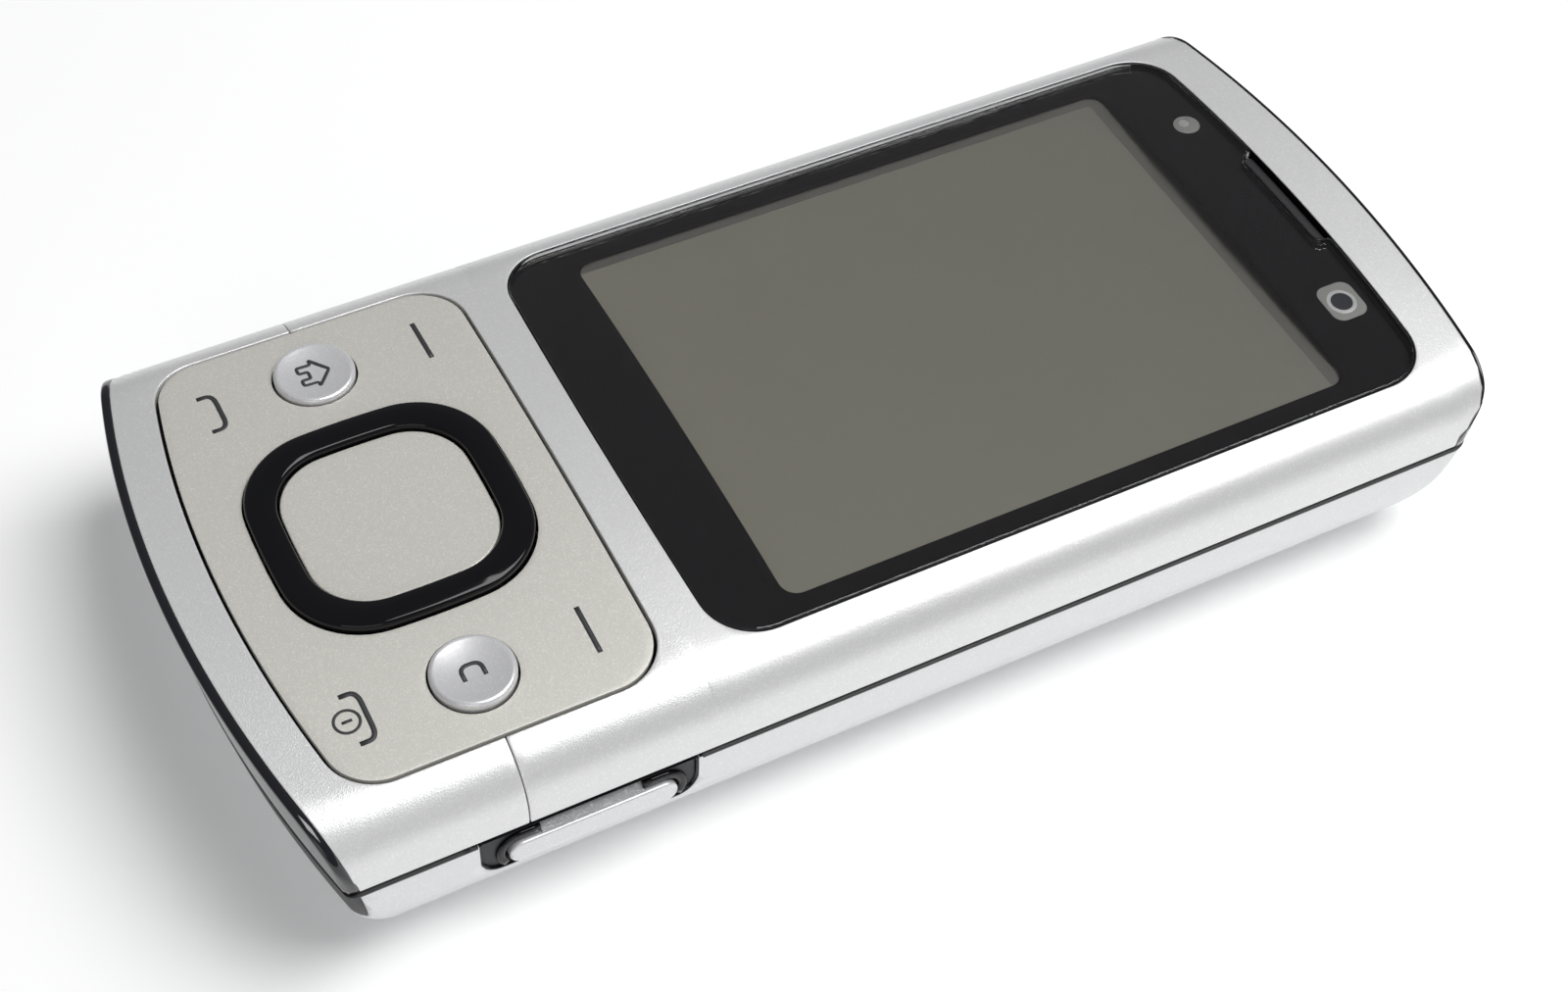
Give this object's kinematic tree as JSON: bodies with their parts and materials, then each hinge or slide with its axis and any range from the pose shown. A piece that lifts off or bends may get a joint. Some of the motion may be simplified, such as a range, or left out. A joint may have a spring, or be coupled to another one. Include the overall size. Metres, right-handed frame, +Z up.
{
  "type": "slider phone",
  "caption": "Slider phone, closed: crowned aluminium front with a glass window, ring keypad, numeric keys under the slide, camera key and sliding back cover.",
  "frame": {"origin": "middle of the outline on the surface the phone lies on, slider closed, screen up", "axes": "+X to the phone's right seen from the front, +Y towards the earpiece end, +Z up through the screen"},
  "size_m": [0.0465, 0.0952, 0.0165],
  "materials": {
    "satin_aluminium": "bead-blasted, clear anodised",
    "window_glass": "clear, printed black from behind",
    "dark_moulding": "moulded",
    "display_panel": "dark panel, switched off",
    "warm_metallic": "fine metallic satin",
    "key_metal": "satin",
    "silicone": "translucent",
    "black_gloss": "polished",
    "black_satin": "satin",
    "dome_steel": "pressed",
    "circuit_board": "solder mask",
    "dark_mesh": "woven mesh",
    "lens_black": "lens",
    "black_painted_steel": "satin black",
    "spring_steel": "plain",
    "nylon": "natural",
    "screw_steel": "zinc plated",
    "tin_plate": "tin plated",
    "tungsten": "sintered",
    "clear_lens": "clear ribbed",
    "battery_wrap": "wrapped cell",
    "gold_contacts": "gold plated",
    "silver_rubber": "painted silver",
    "flex_film": "polyimide",
    "numeric_keys": "painted, printed digits"
  },
  "bodies": {
    "body": {"chassis": "satin_aluminium", "keypad_bezel": "black_satin", "keypad_domes": "dome_steel", "main_board": "circuit_board", "shield_cans": "tin_plate", "antenna_module": "dark_moulding", "vibration_motor": "tin_plate", "loudspeaker": "dark_mesh", "camera_module": "dark_moulding", "camera_window": "window_glass", "camera_flash": "clear_lens", "battery": "battery_wrap", "battery_contacts": "gold_contacts", "card_holder": "tin_plate", "usb_socket": "tin_plate", "camera_key_bezel": "black_gloss", "slide_base_plate": "black_painted_steel", "slide_spring": "spring_steel", "flex_cable": "flex_film", "body_screws": "screw_steel"},
    "slider": {"upper_frame": "satin_aluminium", "lower_frame": "satin_aluminium", "window_glass": "window_glass", "inner_frame": "dark_moulding", "display_module": "display_panel", "function_domes": "dome_steel", "ui_board": "circuit_board", "earpiece": "dark_mesh", "front_camera": "lens_black", "light_sensor": "lens_black", "slider_back_cover": "black_painted_steel", "slide_carriage": "spring_steel", "slide_runners": "nylon", "top_end_cap": "black_gloss", "bottom_end_cap": "black_gloss", "slider_screws": "screw_steel"},
    "keypad_web": {"keypad_web": "silicone"},
    "keypad_plate": {"keypad_plate": "warm_metallic"},
    "ring_pad": {"nav_ring_pad": "silicone"},
    "nav_ring": {"nav_ring": "black_gloss"},
    "select_key": {"select_key": "warm_metallic"},
    "home_key": {"home_key": "key_metal"},
    "clear_key": {"clear_key": "key_metal"},
    "camera_key": {"camera_key": "key_metal"},
    "battery_cover": {"battery_cover": "satin_aluminium"},
    "usb_door": {"usb_door": "silver_rubber"},
    "lens_barrel": {"lens_barrel": "lens_black"},
    "vibration_weight": {"vibration_weight": "tungsten"},
    "key_star": {"key_star": "numeric_keys"},
    "key_0": {"key_0": "numeric_keys"},
    "key_hash": {"key_hash": "numeric_keys"},
    "key_7": {"key_7": "numeric_keys"},
    "key_8": {"key_8": "numeric_keys"},
    "key_9": {"key_9": "numeric_keys"},
    "key_4": {"key_4": "numeric_keys"},
    "key_5": {"key_5": "numeric_keys"},
    "key_6": {"key_6": "numeric_keys"},
    "key_1": {"key_1": "numeric_keys"},
    "key_2": {"key_2": "numeric_keys"},
    "key_3": {"key_3": "numeric_keys"}
  },
  "joints": [
    {"name": "slider_travel", "type": "slide", "parent": "body", "child": "slider", "axis": [0, 1, 0], "range_m": [0, 0.028], "deforming": ["slide_spring", "flex_cable"]},
    {"name": "plate_rock_x", "type": "hinge", "parent": "slider", "child": "keypad_web", "pos_m": [0, -0.0312, 0.0141], "axis": [1, 0, 0], "range_deg": [-0.5, 0.5], "stiffness_Nm_per_rad": 0.02},
    {"name": "plate_rock_y", "type": "hinge", "parent": "keypad_web", "child": "keypad_plate", "pos_m": [0, -0.0312, 0.0141], "axis": [0, 1, 0], "range_deg": [-0.4, 0.4], "stiffness_Nm_per_rad": 0.02},
    {"name": "ring_tilt_x", "type": "hinge", "parent": "slider", "child": "ring_pad", "pos_m": [0, -0.0312, 0.0141], "axis": [1, 0, 0], "range_deg": [-1.5, 1.5], "stiffness_Nm_per_rad": 0.004},
    {"name": "ring_tilt_y", "type": "hinge", "parent": "ring_pad", "child": "nav_ring", "pos_m": [0, -0.0312, 0.0141], "axis": [0, 1, 0], "range_deg": [-1.5, 1.5], "stiffness_Nm_per_rad": 0.004},
    {"name": "select_press", "type": "slide", "parent": "slider", "child": "select_key", "axis": [0, 0, -1], "range_m": [0, 0.0003], "stiffness_N_per_m": 30, "springref_m": -0.0005},
    {"name": "home_press", "type": "slide", "parent": "slider", "child": "home_key", "axis": [0, 0, -1], "range_m": [0, 0.0003], "stiffness_N_per_m": 30, "springref_m": -0.0005},
    {"name": "clear_press", "type": "slide", "parent": "slider", "child": "clear_key", "axis": [0, 0, -1], "range_m": [0, 0.0003], "stiffness_N_per_m": 30, "springref_m": -0.0005},
    {"name": "key_star_press", "type": "slide", "parent": "body", "child": "key_star", "axis": [0, 0, -1], "range_m": [0, 0.00025], "stiffness_N_per_m": 30, "springref_m": -0.0005},
    {"name": "key_0_press", "type": "slide", "parent": "body", "child": "key_0", "axis": [0, 0, -1], "range_m": [0, 0.00025], "stiffness_N_per_m": 30, "springref_m": -0.0005},
    {"name": "key_hash_press", "type": "slide", "parent": "body", "child": "key_hash", "axis": [0, 0, -1], "range_m": [0, 0.00025], "stiffness_N_per_m": 30, "springref_m": -0.0005},
    {"name": "key_7_press", "type": "slide", "parent": "body", "child": "key_7", "axis": [0, 0, -1], "range_m": [0, 0.00025], "stiffness_N_per_m": 30, "springref_m": -0.0005},
    {"name": "key_8_press", "type": "slide", "parent": "body", "child": "key_8", "axis": [0, 0, -1], "range_m": [0, 0.00025], "stiffness_N_per_m": 30, "springref_m": -0.0005},
    {"name": "key_9_press", "type": "slide", "parent": "body", "child": "key_9", "axis": [0, 0, -1], "range_m": [0, 0.00025], "stiffness_N_per_m": 30, "springref_m": -0.0005},
    {"name": "key_4_press", "type": "slide", "parent": "body", "child": "key_4", "axis": [0, 0, -1], "range_m": [0, 0.00025], "stiffness_N_per_m": 30, "springref_m": -0.0005},
    {"name": "key_5_press", "type": "slide", "parent": "body", "child": "key_5", "axis": [0, 0, -1], "range_m": [0, 0.00025], "stiffness_N_per_m": 30, "springref_m": -0.0005},
    {"name": "key_6_press", "type": "slide", "parent": "body", "child": "key_6", "axis": [0, 0, -1], "range_m": [0, 0.00025], "stiffness_N_per_m": 30, "springref_m": -0.0005},
    {"name": "key_1_press", "type": "slide", "parent": "body", "child": "key_1", "axis": [0, 0, -1], "range_m": [0, 0.00025], "stiffness_N_per_m": 30, "springref_m": -0.0005},
    {"name": "key_2_press", "type": "slide", "parent": "body", "child": "key_2", "axis": [0, 0, -1], "range_m": [0, 0.00025], "stiffness_N_per_m": 30, "springref_m": -0.0005},
    {"name": "key_3_press", "type": "slide", "parent": "body", "child": "key_3", "axis": [0, 0, -1], "range_m": [0, 0.00025], "stiffness_N_per_m": 30, "springref_m": -0.0005},
    {"name": "camera_key_press", "type": "slide", "parent": "body", "child": "camera_key", "axis": [-1, 0, 0], "range_m": [0, 0.0006], "stiffness_N_per_m": 30, "springref_m": -0.0005},
    {"name": "battery_cover_slide", "type": "slide", "parent": "body", "child": "battery_cover", "axis": [0, -1, 0], "range_m": [0, 0.07]},
    {"name": "usb_door_hinge", "type": "hinge", "parent": "body", "child": "usb_door", "pos_m": [-0.02305, 0.0204, 0.0055], "axis": [0, 0, 1], "range_deg": [0, 100]},
    {"name": "lens_focus", "type": "slide", "parent": "body", "child": "lens_barrel", "axis": [0, 0, 1], "range_m": [0, 0.0003], "stiffness_N_per_m": 30},
    {"name": "vibration_spin", "type": "hinge", "parent": "body", "child": "vibration_weight", "pos_m": [0.014, 0.0239, 0.005], "axis": [1, 0, 0], "continuous": true}
  ]
}
